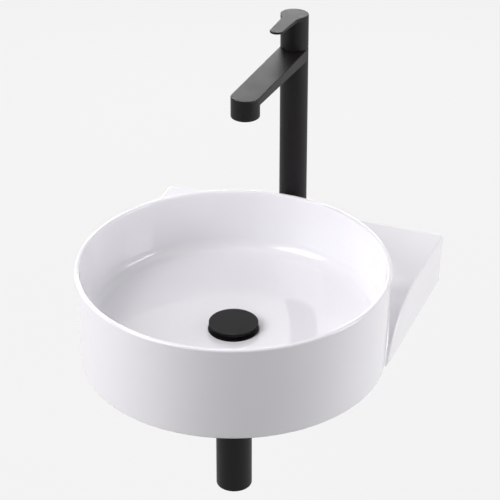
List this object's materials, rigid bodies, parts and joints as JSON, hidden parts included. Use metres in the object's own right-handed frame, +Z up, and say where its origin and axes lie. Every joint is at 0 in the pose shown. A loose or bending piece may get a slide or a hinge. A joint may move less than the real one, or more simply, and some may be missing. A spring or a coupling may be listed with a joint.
{
  "type": "washbasin",
  "caption": "Wall-hung round-bowl washbasin with a flat rear shelf, single-lever pillar tap, push-button waste and slim bottle trap.",
  "frame": {"origin": "midway between the two wall fixings, on the face of the wall", "axes": "+X along the wall to the right as seen from the room, +Y into the wall, +Z up"},
  "size_m": [0.3999, 0.508, 0.5915],
  "materials": {
    "ceramic": "glossy white glaze",
    "black_metal": "matt black coating on cast and drawn brass",
    "brass": "bare machined brass",
    "steel": "plain stainless steel",
    "rubber": "black rubber",
    "white_plastic": "moulded off-white plastic",
    "disc_ceramic": "lapped ceramic"
  },
  "bodies": {
    "basin": {"bowl_wall": "ceramic", "bowl_floor": "ceramic", "waste_pad": "ceramic", "shelf": "ceramic", "shelf_wings": "ceramic", "back_wall": "ceramic", "wall_bushes": "white_plastic", "push_barrel": "white_plastic", "waste_body": "black_metal", "flange_gasket": "rubber", "under_gasket": "rubber", "waste_nut": "brass", "top_nut": "black_metal", "top_seal": "rubber", "tail_tube": "black_metal", "tail_seal": "rubber", "trap_body": "black_metal", "dip_tube": "white_plastic", "outlet_pipe": "black_metal", "outlet_nut": "black_metal", "outlet_seal": "rubber", "wall_rosette": "black_metal", "tap_column": "black_metal", "spout": "black_metal", "base_ring": "black_metal", "base_seal": "rubber", "fixing_stud": "steel", "rubber_horseshoe": "rubber", "steel_horseshoe": "steel", "stud_nut": "brass", "aerator_ring": "black_metal", "aerator_insert": "white_plastic", "aerator_seal": "rubber", "cartridge": "white_plastic", "cartridge_gasket": "rubber", "fixed_disc": "disc_ceramic", "domed_nut": "black_metal", "plunger_spring": "steel"},
    "waste_cap": {"waste_cap": "black_metal", "cap_seal": "rubber", "plunger": "steel"},
    "cup_seal": {"cup_seal": "rubber"},
    "trap_cup": {"trap_cup": "black_metal"},
    "carrier": {"carrier": "white_plastic", "pivot_pin": "steel"},
    "moving_disc": {"moving_disc": "disc_ceramic"},
    "handle": {"handle": "black_metal", "stem": "steel", "grub_screw": "steel", "screw_plug": "black_metal"}
  },
  "joints": [
    {"name": "cap_press", "type": "slide", "parent": "basin", "child": "waste_cap", "axis": [0, 0, -1], "range_m": [0, 0.004], "stiffness_N_per_m": 400, "springref_m": -0.002, "deforming": ["plunger_spring"]},
    {"name": "cup_lower", "type": "slide", "parent": "basin", "child": "cup_seal", "axis": [0, 0, -1], "range_m": [0, 0.009]},
    {"name": "cup_unscrew", "type": "hinge", "parent": "cup_seal", "child": "trap_cup", "pos_m": [0, -0.268, -0.19], "axis": [0, 0, -1], "range_deg": [0, 1080]},
    {"name": "handle_turn", "type": "hinge", "parent": "basin", "child": "carrier", "pos_m": [0, -0.046, 0.305], "axis": [0, 0, 1], "range_deg": [-45, 45]},
    {"name": "handle_lift", "type": "hinge", "parent": "carrier", "child": "handle", "pos_m": [0, -0.046, 0.305], "axis": [-1, 0, 0], "range_deg": [0, 20]},
    {"name": "disc_slide", "type": "slide", "parent": "carrier", "child": "moving_disc", "axis": [0, -1, 0], "range_m": [0, 0.0035]}
  ],
  "couplings": [
    {"joint": "cup_lower", "follows": "cup_unscrew", "m_per_rad": 0.00047746},
    {"joint": "disc_slide", "follows": "handle_lift", "m_per_rad": 0.01}
  ]
}
